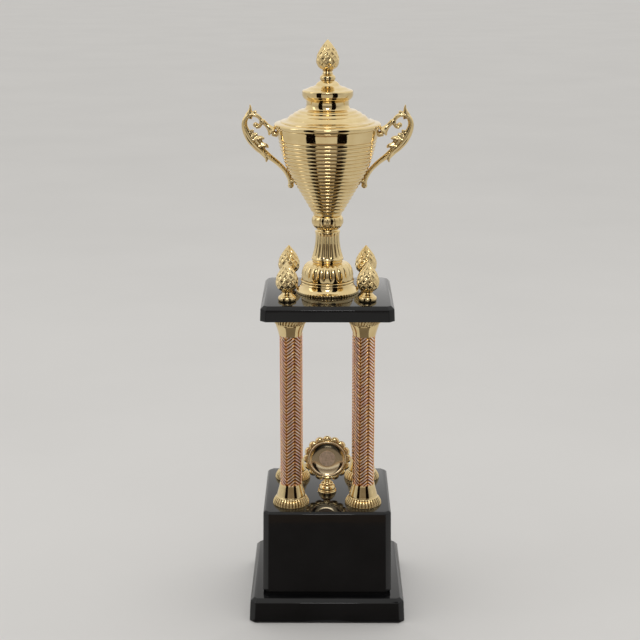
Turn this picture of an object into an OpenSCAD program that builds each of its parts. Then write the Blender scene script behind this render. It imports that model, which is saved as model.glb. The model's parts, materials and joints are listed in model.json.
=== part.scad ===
// Column trophy: weighted base plate, plinth block, four woven columns on tie rods, deck with
// corner finials, standing medallion, and a two-handled cup whose lid lifts off.
// The origin is the middle of the footprint on the table, +Z is up and -Y is the front.

/* [Base plate] */
// How far the base plate stands out past the plinth block's faces
plate_ledge = 14.5; // [9:0.5:40]
// Height of the base plate, without its rubber pads
plate_h = 26.4; // [25:0.2:40]
// How much wider the base plate is at its foot, in all
plate_draft = 2.4; // [0:0.2:5]
// Size of the bevel round the base plate's top edge
plate_edge = 4; // [1:0.5:6]
// Height of the raised step that the plinth stands on
step_h = 3.8; // [2:0.2:8]
// How far the step is set in from the plinth's faces
step_inset = 3.5; // [1:0.5:4]

/* [Plinth block] */
// Width of the plinth block under its top edge
plinth_w = 140; // [115:1:175]
// Height of the plinth block
plinth_h = 93.2; // [60:1:150]
// How much wider the plinth block is at its foot, in all
plinth_draft = 2.4; // [0:0.2:5]
// Size of the bevel round the plinth block's top edge
plinth_edge = 2; // [1:0.5:4]
// Wall of the moulded base plate, plinth block and deck
shell_wall = 3.2; // [2:0.2:4]
// Radius of the upright corners of the mouldings
corner_r = 6; // [5:0.5:10]

/* [Columns] */
// Distance of a column's centre in from the plinth block's faces
column_in = 30; // [26:0.5:36]
// Outer diameter of a column tube
column_d = 24; // [22:0.5:28]
// Bore of a column tube
column_bore = 21; // [19:0.2:21.4]
// Clear height between the plinth block and the deck
column_rise = 215.8; // [120:1:400]
// Diameter of a column's bell-shaped foot or capital
bell_d = 40.6; // [36:0.5:44]
// Height of a column's foot
bell_foot_h = 23.8; // [20:0.2:30]
// Height of a column's capital
bell_cap_h = 22.2; // [20:0.2:30]
// Diameter of the tie rods
rod_d = 5; // [4:0.2:6]

/* [Deck] */
// How much wider than the plinth block the deck is, in all
deck_extra = 1.6; // [-6:0.2:20]
// Height of the deck
deck_h = 16.3; // [14:0.1:24]
// Size of the bevel round the deck's top edge
deck_edge = 3.5; // [1:0.5:5]
// How far the tie rods and corner finials stand outside the column centres, along X and along Y
finial_out = 3.2; // [0:0.1:5]
// Largest diameter of a finial's bud
bud_d = 24.2; // [20:0.2:28]

/* [Cup] */
// Diameter of the cup's base ring
ring_d = 69; // [64:1:76]
// Height of the cup's base ring
ring_h = 12; // [10:0.5:18]
// Height of the gadrooned dome
dome_h = 21.8; // [18:0.2:30]
// Height of the fluted stem
stem_h = 36.5; // [30:0.5:70]
// Height of the knop
knop_h = 14.7; // [13:0.1:18]
// Height of the bowl
bowl_h = 95; // [78:1:120]
// Outer diameter of the bowl at its rim
bowl_d = 110.4; // [92:0.2:135]
// Wall of the bowl
bowl_wall = 1.8; // [1.2:0.1:3]
// Diameter of the threaded rod through the cup
cup_rod_d = 6; // [5:0.5:8]
// Number of raised rings round the bowl
rib_count = 19; // [12:1:24]

/* [Lid] */
// How far the lid overhangs the bowl's rim
lid_overhang = 2.4; // [1:0.2:4]

/* [Medallion] */
// Outer diameter of the scalloped rim
medal_d = 53.8; // [46:0.2:56]
// Number of scallops round the rim
scallop_count = 16; // [12:1:24]
// Diameter of the dish set in the rim
dish_d = 43; // [36:0.5:45]
// Diameter of the blank insert
insert_d = 17.8; // [12:0.2:24]

/* [Hidden] */
skin = 0.01;            // height of the sheets that a drafted block is spanned between
gap = 0.15;             // clearance round a spigot, rod or screw that fits in a hole
bore_gap = 0.3;         // clearance round a screw's through hole
fine = 96;              // faces round a large turned piece, as the preview draws it
round_fn = 48;          // faces round a small one
edge_fn = 32;           // faces round the corner of a moulding

// Rubber pads and bottom cover
pad_h = 1.6;
pad_r = 8;
pad_drop = 1;           // how far the pads stand below the base plate's rim
cover_t = 3;
cover_screw_r = 1.5;
cover_boss_r = 4.5;
cover_boss_in = 10;     // post centre, in from the side of the plate
pad_in = 22;            // pad centre, in from the side of the plate

// Ballast and the screws that hold it and the plinth
ballast_t = 15;
ballast_in = 12;        // ballast's edge, in from the inner wall
plinth_screw_r = 2;
plinth_head_r = 3.6;
plinth_head_h = 3;
plinth_boss_r = 6.5;
plinth_boss_h = 26;
plinth_thread = 20;     // how far a plinth screw reaches into its boss

// Heights of the stack, from the table up
z_plate = pad_drop;
z_plate_top = z_plate + plate_h;
z_plinth = z_plate_top + step_h;
z_plinth_top = z_plinth + plinth_h;
z_deck = z_plinth_top + column_rise;
z_deck_top = z_deck + deck_h;
z_dome = z_deck_top + ring_h;
z_stem = z_dome + dome_h;
z_knop = z_stem + stem_h;
z_bowl = z_knop + knop_h;
z_rim = z_bowl + bowl_h;

plate_w = plinth_w + 2 * plate_ledge;
deck_w = plinth_w + deck_extra;
column_pitch = plinth_w - 2 * column_in;
finial_pitch = column_pitch + 2 * finial_out;
plate_foot_w = plate_w + plate_draft;
plinth_foot_w = plinth_w + plinth_draft;
deck_draft = 1.3;
deck_foot_w = deck_w + deck_draft;
step_w = plinth_foot_w - 2 * step_inset;
plate_in_w = plate_w - 2 * shell_wall;
deck_in_w = deck_w - 2 * shell_wall;
ballast_w = plate_in_w - 2 * ballast_in;
ballast_z = z_plate_top - shell_wall - ballast_t;
plinth_boss_pitch = plinth_w - 2 * (shell_wall + plinth_boss_r - 1.5);
cover_boss_pitch = plate_w - 2 * cover_boss_in;
pad_pitch = plate_w - 2 * pad_in;
cover_z = pad_h;

// Tie rods with their nuts and washers
rod_r = rod_d / 2;
rod_hole_r = rod_r + gap;
rod_boss_r = 6.5;
washer_t = 1;
washer_r = 2 * rod_r;
nut_h = 0.8 * rod_d;
nut_r = 0.92 * rod_d;   // across the corners, halved
rod_tail = 3;           // rod that shows past the lower nut
rod_top = 9.5;          // rod above the upper nut, inside the finial
z_rod = z_plinth_top - shell_wall - washer_t - nut_h - rod_tail;
z_rod_top = z_deck_top + washer_t + nut_h + rod_top;

// Column ends
spigot_h = 12;
spigot_r = column_bore / 2 - gap;
spigot_wall = 0.7;      // least wall left round the bore through a bell
rod_room = 1.2;         // room between a tie rod and that bore, where the wall allows it
bell_bore_r = min(sqrt(2) * finial_out + rod_r + rod_room, spigot_r - spigot_wall);
bell_lip_h = 1.6;       // plain lip at the wide end of a bell
bell_band_h = 7.7;      // fluted band above the lip
bell_neck_r = column_d / 2 + 0.3;
column_tube_h = column_rise - bell_foot_h - bell_cap_h;

// Deck and the plate that closes it underneath
under_t = 2.5;
under_hole_r = 9;       // access to the nut under the cup
under_screw_r = 1.4;
under_screw_l = 8;
under_head_r = 3;
under_head_h = 1.3;
under_boss_r = 4;
under_boss_pitch = deck_in_w - 2 * (under_boss_r + 3);

// Finials
bud_r = bud_d / 2;
finial_foot_r = 9.6;
lid_finial_foot_r = 8.2;
finial_neck_r = 4.9;
finial_neck_z = 11;
bud_z = 20.8;           // height of the bud's widest ring
finial_h = 42.8;
finial_pocket_r = max(nut_r, washer_r) + 0.6;
finial_thread = 16;     // depth of the finial's hole

// Cup
ring_r = ring_d / 2;
dome_r = ring_r - 5.3;
stem_foot_r = 17.4;
dome_top_r = stem_foot_r - 1.4;
stem_waist_r = 12.9;
knop_r = 17.2;
knop_foot_r = 12.2;
bowl_foot_r = 15;
cup_wall = 2.2;
web_t = 2.5;
cup_rod_r = cup_rod_d / 2;
cup_hole_r = cup_rod_r + gap;
cup_washer_r = 2.4 * cup_rod_r;
cup_washer_t = 1.2;
cup_nut_h = 0.8 * cup_rod_d;
cup_nut_r = 0.92 * cup_rod_d;
cup_rod_tail = 2.5;
bowl_floor = 3.5;
bowl_r = bowl_d / 2;
bowl_band_h = 14;       // plain band under the rim
rib_start = 4;          // first rib above the bowl's foot
rib_depth = 0.9;
rib_steps = 6;

// Lid
lid_r = bowl_r + lid_overhang;
lid_wall = 1.8;
lid_top_h = 49.8;       // height of the lid above the bowl's rim
lid_step_r = lid_r - 14.6;
lid_waist_r = 23.2;
lid_drum_r = 27.2;
lid_spigot_h = 4;
lid_spigot_r = bowl_r - bowl_wall - 2.2;
lid_screw_r = 2.4;
lid_head_r = 4.4;
lid_head_h = 3;
lid_boss_t = 5;

// Medallion
medal_y = -5;
medal_t = 5;
medal_r = medal_d / 2;
scallop_r = 5;
dish_r = dish_d / 2;
dish_seat_r = 15.4;     // flat floor of the dish
dish_t = 1.4;
dish_depth = 3.6;
insert_t = 0.8;
insert_r = insert_d / 2;
tang_r = 2.4;
tang_l = 6;
stem_top_h = 14;        // height of the medallion's stem
stem_base_r = 10.45;
medal_z = z_plinth_top + stem_top_h + medal_r - 1.8;
medal_screw_r = 1.5;
medal_head_r = 3;
medal_head_h = 2;
medal_screw_l = 10;

// Handles and the screws that hold them
handle_t = 6;
grip_w = 5;
screw3_r = 1.5;
screw3_head_r = 2.8;
screw3_head_h = 1.8;
upper_drop = lid_spigot_h + screw3_head_r + 0.6;    // keeps the upper head clear of the lid
lower_drop = 57.5;
// Height and length of each screw
screw_places = [[z_rim - upper_drop, 9], [z_rim - lower_drop, 7.3]];

corner_names = ["front_left", "front_right", "back_left", "back_right"];
corner_signs = [[-1, -1], [1, -1], [-1, 1], [1, 1]];
corner_pieces = ["column", "column_foot", "column_capital", "tie_rod", "corner_finial"];

// ---- shared shapes ----

function bezier(p, n) = [for (i = [0 : n]) let (t = i / n, u = 1 - t)
    u * u * u * p[0] + 3 * u * u * t * p[1] + 3 * u * t * t * p[2] + t * t * t * p[3]];

// A piece turned about the Z axis from a half outline of [radius, height] points
module turned(outline, fn = fine) {
    rotate_extrude($fn = fn) polygon(outline);
}

// A moulding with drafted sides, round upright corners and a bevelled top edge
module drafted_block(foot_w, head_w, h, corner, edge) {
    layers = [[0, foot_w, corner],
              [h - edge, head_w, corner],
              [h - skin, head_w - 2 * edge, corner - edge / 2]];
    hull()
        for (layer = layers, sx = [-1, 1], sy = [-1, 1])
            translate([sx * (layer[1] / 2 - layer[2]), sy * (layer[1] / 2 - layer[2]), layer[0]])
                cylinder(h = skin, r = layer[2], $fn = edge_fn);
}

// A drafted block, open underneath, with the same wall all over
module drafted_shell(foot_w, head_w, h, corner, edge, wall) {
    difference() {
        drafted_block(foot_w, head_w, h, corner, edge);
        translate([0, 0, -skin])
            drafted_block(foot_w - 2 * wall, head_w - 2 * wall, h - wall + skin,
                corner - wall / 2, edge / 2);
    }
}

// A flat square plate whose corners are cut to pass the round corners of a moulding
module cut_plate(w, h) {
    a = w / 2;
    b = a - corner_r;
    linear_extrude(h)
        polygon([[-b, -a], [b, -a], [a, -b], [a, b], [b, a], [-b, a], [-a, b], [-a, -b]]);
}

// Places its children at the four corners of a square
module at_corners(pitch) {
    for (s = corner_signs)
        translate([s[0] * pitch / 2, s[1] * pitch / 2, 0]) children();
}

module at_corner(i, pitch) {
    translate([corner_signs[i][0] * pitch / 2, corner_signs[i][1] * pitch / 2, 0]) children();
}

module hex_nut(r, h, hole_r) {
    difference() {
        cylinder(h = h, r = r, $fn = 6);
        translate([0, 0, -1]) cylinder(h = h + 2, r = hole_r, $fn = round_fn);
    }
}

module washer(r, t, hole_r) {
    difference() {
        cylinder(h = t, r = r, $fn = round_fn);
        translate([0, 0, -1]) cylinder(h = t + 2, r = hole_r, $fn = round_fn);
    }
}

// A screw whose head is below z = 0 and whose shank rises from it
module screw(shank_r, length, head_r, head_h) {
    translate([0, 0, -head_h]) cylinder(h = head_h, r = head_r, $fn = round_fn);
    cylinder(h = length, r = shank_r, $fn = round_fn);
}

// ---- base ----

module base_plate() {
    post_h = plate_h - shell_wall - (cover_z - z_plate) - cover_t;
    color([0.03, 0.03, 0.03])
    difference() {
        union() {
            translate([0, 0, z_plate])
                drafted_shell(plate_foot_w, plate_w, plate_h, corner_r, plate_edge, shell_wall);
            translate([-step_w / 2, -step_w / 2, z_plate_top - 1])
                cube([step_w, step_w, step_h + 1]);
            translate([0, 0, cover_z + cover_t])
                at_corners(cover_boss_pitch)
                    cylinder(h = post_h + 1, r = cover_boss_r, $fn = round_fn);
        }
        at_corners(plinth_boss_pitch)
            cylinder(h = z_plinth + 1, r = plinth_screw_r + bore_gap, $fn = round_fn);
        translate([0, 0, cover_z])
            at_corners(cover_boss_pitch)
                cylinder(h = 15, r = cover_screw_r + gap, $fn = round_fn);
    }
}

module bottom_cover() {
    w = plate_in_w - 1;
    color([0.2, 0.15, 0.1])
    difference() {
        translate([0, 0, cover_z]) cut_plate(w, cover_t);
        at_corners(cover_boss_pitch)
            cylinder(h = 10, r = cover_screw_r + bore_gap, $fn = round_fn);
    }
}

module foot_pads() {
    color([0.05, 0.05, 0.05])
    at_corners(pad_pitch) cylinder(h = pad_h, r = pad_r, $fn = round_fn);
}

module cover_screws() {
    color("silver")
    translate([0, 0, cover_z])
        at_corners(cover_boss_pitch) screw(cover_screw_r, 13, 3.2, 1.1);
}

module ballast_weight() {
    color([0.25, 0.25, 0.26])
    difference() {
        translate([-ballast_w / 2, -ballast_w / 2, ballast_z])
            cube([ballast_w, ballast_w, ballast_t]);
        at_corners(plinth_boss_pitch)
            cylinder(h = z_plinth, r = plinth_screw_r + bore_gap, $fn = round_fn);
    }
}

module plinth_screws() {
    color("silver")
    translate([0, 0, ballast_z])
        at_corners(plinth_boss_pitch)
            screw(plinth_screw_r, z_plinth - ballast_z + plinth_thread, plinth_head_r,
                plinth_head_h);
}

module plinth_block() {
    color([0.03, 0.03, 0.03])
    difference() {
        union() {
            translate([0, 0, z_plinth])
                drafted_shell(plinth_foot_w, plinth_w, plinth_h, corner_r, plinth_edge,
                    shell_wall);
            translate([0, 0, z_plinth])
                at_corners(plinth_boss_pitch)
                    cylinder(h = plinth_boss_h, r = plinth_boss_r, $fn = round_fn);
        }
        translate([0, 0, z_plinth - 1])
            at_corners(plinth_boss_pitch)
                cylinder(h = plinth_thread + 3, r = plinth_screw_r + gap, $fn = round_fn);
        translate([0, 0, z_plinth_top - 2 * shell_wall])
            at_corners(finial_pitch)
                cylinder(h = 3 * shell_wall, r = rod_hole_r, $fn = round_fn);
        translate([0, medal_y, z_plinth_top - 2 * shell_wall])
            cylinder(h = 3 * shell_wall, r = medal_screw_r + gap, $fn = round_fn);
    }
}

// ---- columns ----

// Flared end piece, wide end at z = 0, with a spigot that fits the tube
module bell(h) {
    mouth_r = bell_d / 2;
    band_top = bell_lip_h + bell_band_h;
    outline = concat(
        [[bell_bore_r, 0], [mouth_r - 0.6, 0], [mouth_r, 0.6], [mouth_r, bell_lip_h],
         [mouth_r - 1.7, band_top], [mouth_r - 2.8, band_top + 0.4],
         [mouth_r - 3, band_top + 1.1]],
        bezier([[mouth_r - 2.7, band_top + 1.6], [mouth_r - 5.2, band_top + 5],
                [bell_neck_r + 0.9, h - 5], [bell_neck_r, h]], 10),
        [[spigot_r, h], [spigot_r, h + spigot_h], [bell_bore_r, h + spigot_h]]);
    turned(outline);
}

module column_foot() {
    color([0.9, 0.72, 0.42])
    translate([0, 0, z_plinth_top]) bell(bell_foot_h);
}

module column_capital() {
    color([0.9, 0.72, 0.42])
    translate([0, 0, z_deck]) mirror([0, 0, 1]) bell(bell_cap_h);
}

module column() {
    r = column_d / 2;
    color([0.88, 0.62, 0.42])
    translate([0, 0, z_plinth_top + bell_foot_h])
        turned([[column_bore / 2, 0], [r, 0], [r, column_tube_h], [column_bore / 2, column_tube_h]]);
}

module tie_rod() {
    color("silver")
    translate([0, 0, z_rod]) cylinder(h = z_rod_top - z_rod, r = rod_r, $fn = round_fn);
}

module tie_rod_nuts() {
    color("silver")
    for (z = [z_plinth_top - shell_wall - washer_t - nut_h, z_deck_top + washer_t])
        translate([0, 0, z]) at_corners(finial_pitch) hex_nut(nut_r, nut_h, rod_hole_r);
}

module tie_rod_washers() {
    color("silver")
    for (z = [z_plinth_top - shell_wall - washer_t, z_deck_top])
        translate([0, 0, z]) at_corners(finial_pitch) washer(washer_r, washer_t, rod_hole_r);
}

// ---- deck ----

module deck() {
    post_z = z_deck + under_t;
    post_h = deck_h - under_t - shell_wall + 1;
    color([0.03, 0.03, 0.03])
    difference() {
        union() {
            translate([0, 0, z_deck])
                drafted_shell(deck_foot_w, deck_w, deck_h, corner_r, deck_edge, shell_wall);
            translate([0, 0, post_z]) {
                at_corners(finial_pitch) cylinder(h = post_h, r = rod_boss_r, $fn = round_fn);
                at_corners(under_boss_pitch)
                    cylinder(h = post_h, r = under_boss_r, $fn = round_fn);
            }
        }
        translate([0, 0, z_deck])
            at_corners(finial_pitch) cylinder(h = deck_h + 1, r = rod_hole_r, $fn = round_fn);
        translate([0, 0, post_z - 1])
            at_corners(under_boss_pitch)
                cylinder(h = under_screw_l, r = under_screw_r + gap, $fn = round_fn);
        translate([0, 0, z_deck]) cylinder(h = deck_h + 1, r = cup_hole_r, $fn = round_fn);
    }
}

module deck_underplate() {
    w = deck_in_w - 1;
    color([0.05, 0.05, 0.05])
    difference() {
        translate([0, 0, z_deck]) cut_plate(w, under_t);
        translate([0, 0, z_deck - 1]) {
            at_corners(finial_pitch) cylinder(h = 5, r = rod_hole_r, $fn = round_fn);
            at_corners(under_boss_pitch) {
                cylinder(h = 5, r = under_screw_r + bore_gap, $fn = round_fn);
                cylinder(h = 1 + under_head_h, r = under_head_r + bore_gap, $fn = round_fn);
            }
            cylinder(h = 5, r = under_hole_r, $fn = round_fn);
        }
    }
}

module underplate_screws() {
    color("silver")
    translate([0, 0, z_deck + under_head_h])
        at_corners(under_boss_pitch)
            screw(under_screw_r, under_screw_l - 1, under_head_r, under_head_h);
}

// ---- finials ----

// Bud on a waisted foot, without its hole
module finial_body(foot_r) {
    turned(concat(
        [[0, 0], [foot_r - 0.8, 0]],
        bezier([[foot_r - 0.5, 0.4], [foot_r + 0.3, 2.2], [foot_r + 0.1, 5], [foot_r - 1.4, 6.2]], 6),
        bezier([[foot_r - 2.2, 6.8], [finial_neck_r + 1, 8], [finial_neck_r, 9],
                [finial_neck_r, finial_neck_z]], 5),
        bezier([[finial_neck_r + 0.2, finial_neck_z + 0.8], [bud_r - 2, finial_neck_z + 1.8],
                [bud_r, bud_z - 4], [bud_r, bud_z]], 8),
        bezier([[bud_r, bud_z], [bud_r, bud_z + 8], [bud_r / 2, finial_h - 7], [0.7, finial_h]], 12),
        [[0, finial_h]]), round_fn);
}

module corner_finial() {
    color([0.92, 0.76, 0.45])
    translate([0, 0, z_deck_top])
    difference() {
        finial_body(finial_foot_r);
        translate([0, 0, -1])
            cylinder(h = 1 + washer_t + nut_h + 0.4, r = finial_pocket_r, $fn = round_fn);
        cylinder(h = finial_thread, r = rod_hole_r, $fn = round_fn);
    }
}

// ---- medallion ----

module medal_stem() {
    outline = concat(
        [[0, 0], [stem_base_r - 0.4, 0], [stem_base_r, 0.5], [stem_base_r, 1.7],
         [stem_base_r - 0.9, 2.3], [stem_base_r - 1.3, 2.9]],
        bezier([[stem_base_r - 1, 3.4], [stem_base_r - 0.6, 6.5], [7.4, 8.5], [6.6, 9]], 6),
        bezier([[7.4, 9.4], [6.6, 10.6], [4.6, 12], [4.3, stem_top_h]], 5),
        [[0, stem_top_h]]);
    color([0.92, 0.76, 0.45])
    translate([0, medal_y, z_plinth_top])
    difference() {
        turned(outline, round_fn);
        translate([0, 0, -1])
            cylinder(h = medal_screw_l - shell_wall - 0.2 + 1, r = medal_screw_r + gap,
                $fn = round_fn);
        translate([0, 0, stem_top_h - tang_l])
            cylinder(h = tang_l + 1, r = tang_r + gap, $fn = round_fn);
        translate([0, medal_t / 2 + gap, medal_z - z_plinth_top]) rotate([90, 0, 0])
            cylinder(h = medal_t + 2 * gap, r = medal_r + gap, $fn = fine);
    }
}

// Children drawn facing +Z are turned to face the front, on the medallion's centre
module on_medal() {
    translate([0, medal_y, medal_z]) rotate([90, 0, 0]) children();
}

module medal_rim() {
    color([0.92, 0.76, 0.45]) {
        difference() {
            union() {
                on_medal() {
                    translate([0, 0, -medal_t / 2])
                        cylinder(h = medal_t, r = medal_r - scallop_r + 2, $fn = fine);
                    for (i = [0 : scallop_count - 1])
                        rotate([0, 0, i * 360 / scallop_count])
                            translate([medal_r - scallop_r, 0, -medal_t / 2])
                                cylinder(h = medal_t, r = scallop_r, $fn = edge_fn);
                }
                translate([0, medal_y, z_plinth_top + stem_top_h - tang_l + 0.3])
                    cylinder(h = tang_l + 4, r = tang_r - gap, $fn = round_fn);
            }
            on_medal()
                translate([0, 0, -medal_t]) cylinder(h = 2 * medal_t, r = dish_r, $fn = fine);
        }
    }
}

module medal_dish() {
    lip_z = medal_t / 2 + 1;
    floor_z = lip_z - dish_depth;
    outline = [[0, floor_z - dish_t], [dish_seat_r + 0.6, floor_z - dish_t],
               [dish_r - gap, lip_z - 2.4], [dish_r - gap, lip_z - 0.6], [dish_r - 0.8, lip_z],
               [dish_r - 1.8, lip_z - 0.5], [dish_r - 2.6, lip_z - 1.4], [dish_seat_r, floor_z],
               [0, floor_z]];
    color([0.95, 0.8, 0.5])
    on_medal() turned(outline);
}

module medal_insert() {
    color([0.6, 0.5, 0.4])
    on_medal()
        translate([0, 0, medal_t / 2 + 1 - dish_depth])
            cylinder(h = insert_t, r = insert_r, $fn = fine);
}

module medal_screw() {
    color("silver")
    translate([0, medal_y, z_plinth_top - shell_wall])
        screw(medal_screw_r, medal_screw_l - 0.5, medal_head_r, medal_head_h);
}

// ---- cup ----

module cup_base_ring() {
    color([0.92, 0.76, 0.45])
    translate([0, 0, z_deck_top])
    difference() {
        turned(concat(
            [[0, 0], [ring_r - 1.2, 0], [ring_r - 0.3, 0.8], [ring_r, 1.6], [ring_r, 2.6],
             [ring_r - 0.5, 3.2]],
            bezier([[ring_r - 1.2, 3.6], [ring_r - 4, 5], [dome_r - 0.6, 7.5],
                    [dome_r - 0.9, ring_h - 0.8]], 7),
            [[dome_r - 1.2, ring_h], [0, ring_h]]));
        translate([0, 0, -1])
            turned([[0, 0], [ring_r - 3.6, 0], [ring_r - 3.6, 1.8],
                    [dome_r - 1 - cup_wall, ring_h + 1 - web_t], [0, ring_h + 1 - web_t]]);
        cylinder(h = ring_h + 1, r = cup_hole_r, $fn = round_fn);
    }
}

module cup_dome() {
    color([0.92, 0.76, 0.45])
    translate([0, 0, z_dome])
    difference() {
        turned(concat(
            [[0, 0], [dome_r - 0.7, 0], [dome_r, 0.7], [dome_r, 1.7], [dome_r - 0.6, 2.4]],
            bezier([[dome_r - 0.6, 3], [dome_r - 0.2, 10], [dome_r - 3, dome_h - 2.4],
                    [dome_r - 9, dome_h - 1]], 10),
            [[dome_top_r + 1, dome_h - 0.3], [dome_top_r, dome_h], [0, dome_h]]));
        translate([0, 0, -1])
            turned(concat([[0, 0], [dome_r - cup_wall, 0], [dome_r - cup_wall, 8]],
                bezier([[dome_r - cup_wall, 9], [dome_r - 3, 13], [dome_r - 5, dome_h - 4],
                        [dome_r - 11, dome_h + 1 - web_t]], 6),
                [[0, dome_h + 1 - web_t]]));
        cylinder(h = dome_h + 1, r = cup_hole_r, $fn = round_fn);
    }
}

module cup_stem() {
    inner_r = stem_waist_r - 2.9;
    color([0.92, 0.76, 0.45])
    translate([0, 0, z_stem])
    difference() {
        turned(concat(
            [[0, 0], [dome_top_r - 0.3, 0], [stem_foot_r - 0.4, 2.2], [stem_foot_r, 3.4],
             [stem_foot_r, 4.4]],
            bezier([[stem_foot_r - 0.2, 5], [stem_foot_r - 3.4, stem_h / 2 - 4],
                    [stem_waist_r, stem_h - 16], [stem_waist_r, stem_h - 9.5]], 12),
            [[stem_waist_r + 0.3, stem_h - 5], [stem_waist_r + 0.8, stem_h - 2.6],
             [knop_foot_r - 0.4, stem_h], [0, stem_h]]));
        translate([0, 0, web_t]) cylinder(h = stem_h - 2 * web_t, r = inner_r, $fn = round_fn);
        translate([0, 0, -1]) cylinder(h = stem_h + 2, r = cup_hole_r, $fn = round_fn);
    }
}

module cup_knop() {
    color([0.92, 0.76, 0.45])
    translate([0, 0, z_knop])
    difference() {
        turned(concat(
            [[0, 0], [knop_foot_r - 0.4, 0]],
            bezier([[knop_foot_r, 0.6], [knop_r - 1.5, 2.5], [knop_r, 6], [knop_r, 8.6]], 8),
            bezier([[knop_r, 8.6], [knop_r, 11], [knop_r - 0.6, 13], [bowl_foot_r + 0.4, knop_h]], 6),
            [[0, knop_h]]));
        translate([0, 0, -1]) cylinder(h = knop_h + 2, r = cup_hole_r, $fn = round_fn);
    }
}

// Outer line of the bowl between its ribs, as [radius, height] points
function bowl_line(grow) = [for (p = bezier(
    [[bowl_foot_r, 0], [43.5, bowl_h - 44], [47, bowl_h - 48], [bowl_r, bowl_h]], 60))
    [p[0] + grow, p[1]]];
// Outer radius of the plain bowl at a height above its foot
function bowl_r_at(h) = lookup(h, [for (p = bowl_line(0)) [p[1], p[0]]]);
rib_pitch = (bowl_h - bowl_band_h - rib_start) / rib_count;

module cup_bowl() {
    ribbed = [for (i = [0 : rib_count - 1], k = [0 : rib_steps - 1])
        let (h = rib_start + (i + k / rib_steps) * rib_pitch)
            [bowl_r_at(h) - rib_depth * (1 - sin(180 * k / rib_steps)), h]];
    band_z = bowl_h - bowl_band_h;
    inside = [for (i = [0 : 16])
        let (h = bowl_floor + 3 + (bowl_h - bowl_floor - 3) * i / 16)
            [bowl_r_at(h) - bowl_wall - rib_depth, h]];
    color([0.93, 0.8, 0.52])
    translate([0, 0, z_bowl])
    difference() {
        turned(concat(
            [[0, 0], [bowl_foot_r, 0], [bowl_r_at(rib_start - 1), rib_start - 1]], ribbed,
            [for (i = [0 : 4]) let (h = band_z + bowl_band_h * i / 5) [bowl_r_at(h), h]],
            [[bowl_r, bowl_h - 0.6], [bowl_r - 0.5, bowl_h], [0, bowl_h]]));
        turned(concat([[0, bowl_floor], [inside[0][0] - 3, bowl_floor]], inside,
            [[inside[16][0], bowl_h + 1], [0, bowl_h + 1]]));
        translate([0, 0, -1]) cylinder(h = bowl_floor + 2, r = cup_hole_r, $fn = round_fn);
        for (side = [0, 1], place = screw_places)
            mirror([side, 0, 0]) translate([0, 0, -z_bowl]) on_handle_screw(place)
                cylinder(h = place[1], r = screw3_r + bore_gap, $fn = round_fn);
    }
}

module cup_rod() {
    low = z_deck_top - shell_wall - cup_washer_t - cup_nut_h - cup_rod_tail;
    high = z_bowl + bowl_floor + cup_washer_t + cup_nut_h + cup_rod_tail;
    color("silver")
    translate([0, 0, low]) cylinder(h = high - low, r = cup_rod_r, $fn = round_fn);
}

module cup_nuts() {
    low = z_deck_top - shell_wall - cup_washer_t - cup_nut_h;
    high = z_bowl + bowl_floor + cup_washer_t;
    color("silver")
    for (z = [low, high]) translate([0, 0, z]) hex_nut(cup_nut_r, cup_nut_h, cup_hole_r);
}

module cup_washers() {
    low = z_deck_top - shell_wall - cup_washer_t;
    high = z_bowl + bowl_floor;
    color("silver")
    for (z = [low, high]) translate([0, 0, z]) washer(cup_washer_r, cup_washer_t, cup_hole_r);
}

// ---- handles ----

// Points of a handle are [distance out from the bowl's rim, height above the rim]
handle_drop = 58.5;     // from the rim down to the handle's foot
handle_foot_in = 18.9;  // how far the foot is in from the rim
// Follows the bowl when its size changes: the top keeps to the rim and the foot to the wall
foot_slide = bowl_r_at(bowl_h - handle_drop) - (bowl_r - handle_foot_in);
function placed(points) = [for (p = points)
    [bowl_r + p[0] + foot_slide * min(max(-p[1] / handle_drop, 0), 1), z_rim + p[1]]];

// Centre line of the scroll, from its foot on the bowl to the curl under its top
scroll = placed(concat(
    bezier([[-17.7, -58.5], [-13.2, -46.5], [-0.2, -39.5], [10.8, -28.5]], 8),
    bezier([[10.8, -28.5], [24.8, -17.5], [34.8, -8.5], [34.4, 3]], 8),
    bezier([[34.4, 3], [33.8, 10.5], [29.8, 14], [24.3, 14]], 6),
    bezier([[24.3, 14], [18.8, 14], [16.3, 8.5], [18.3, 4.5]], 5)));
leaf = placed([[26.8, -4], [24.8, -7], [20.8, -7], [18.3, -9.7], [12.7, -11.7], [14.8, -15.7],
    [12.8, -17.9], [8.7, -21.3], [9.4, -24.7], [6.3, -28.5], [6.8, -33.5], [10.6, -36],
    [12.9, -32.3], [16.8, -28.5], [24.8, -21], [31.8, -12]]);
spike = placed([[29, 13.5], [28.8, 18], [27.4, 24.5], [25.4, 19.5], [21.3, 14.9], [17.8, 11.5]]);
curl_ball = placed([[21.6, 2.1]])[0];
foot_ball = placed([[-15.6, -62.4]])[0];
collar_ball = placed([[14, 5.5]])[0];
socket = placed([[13.2, 3.5], [3.2, -5.4]]);    // small and wide ends of the bell-shaped socket
arm_end = placed([[18.3, 5]])[0];
// Where the two pads that the screws hold start, inside the bowl's outer line
pads = placed([[-3.2, -upper_drop], [-20.5, -lower_drop]]);
pad_sizes = [[8, 4.6], [6.3, 3.2]];             // length and radius of each

// Outline of a strip of width w along a line of points
function side_of(line, w) = [for (i = [0 : len(line) - 1])
    let (a = line[max(i - 1, 0)], b = line[min(i + 1, len(line) - 1)], d = (b - a) / norm(b - a))
        line[i] + w / 2 * [-d[1], d[0]]];
function reversed(line) = [for (i = [len(line) - 1 : -1 : 0]) line[i]];
function strip(line, w) = concat(side_of(line, w), reversed(side_of(line, -w)));
function thinned(line) = [for (i = [0 : len(line) - 1])
    if (i == 0 || norm(line[i] - line[i - 1]) > 0.2) line[i]];

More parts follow.
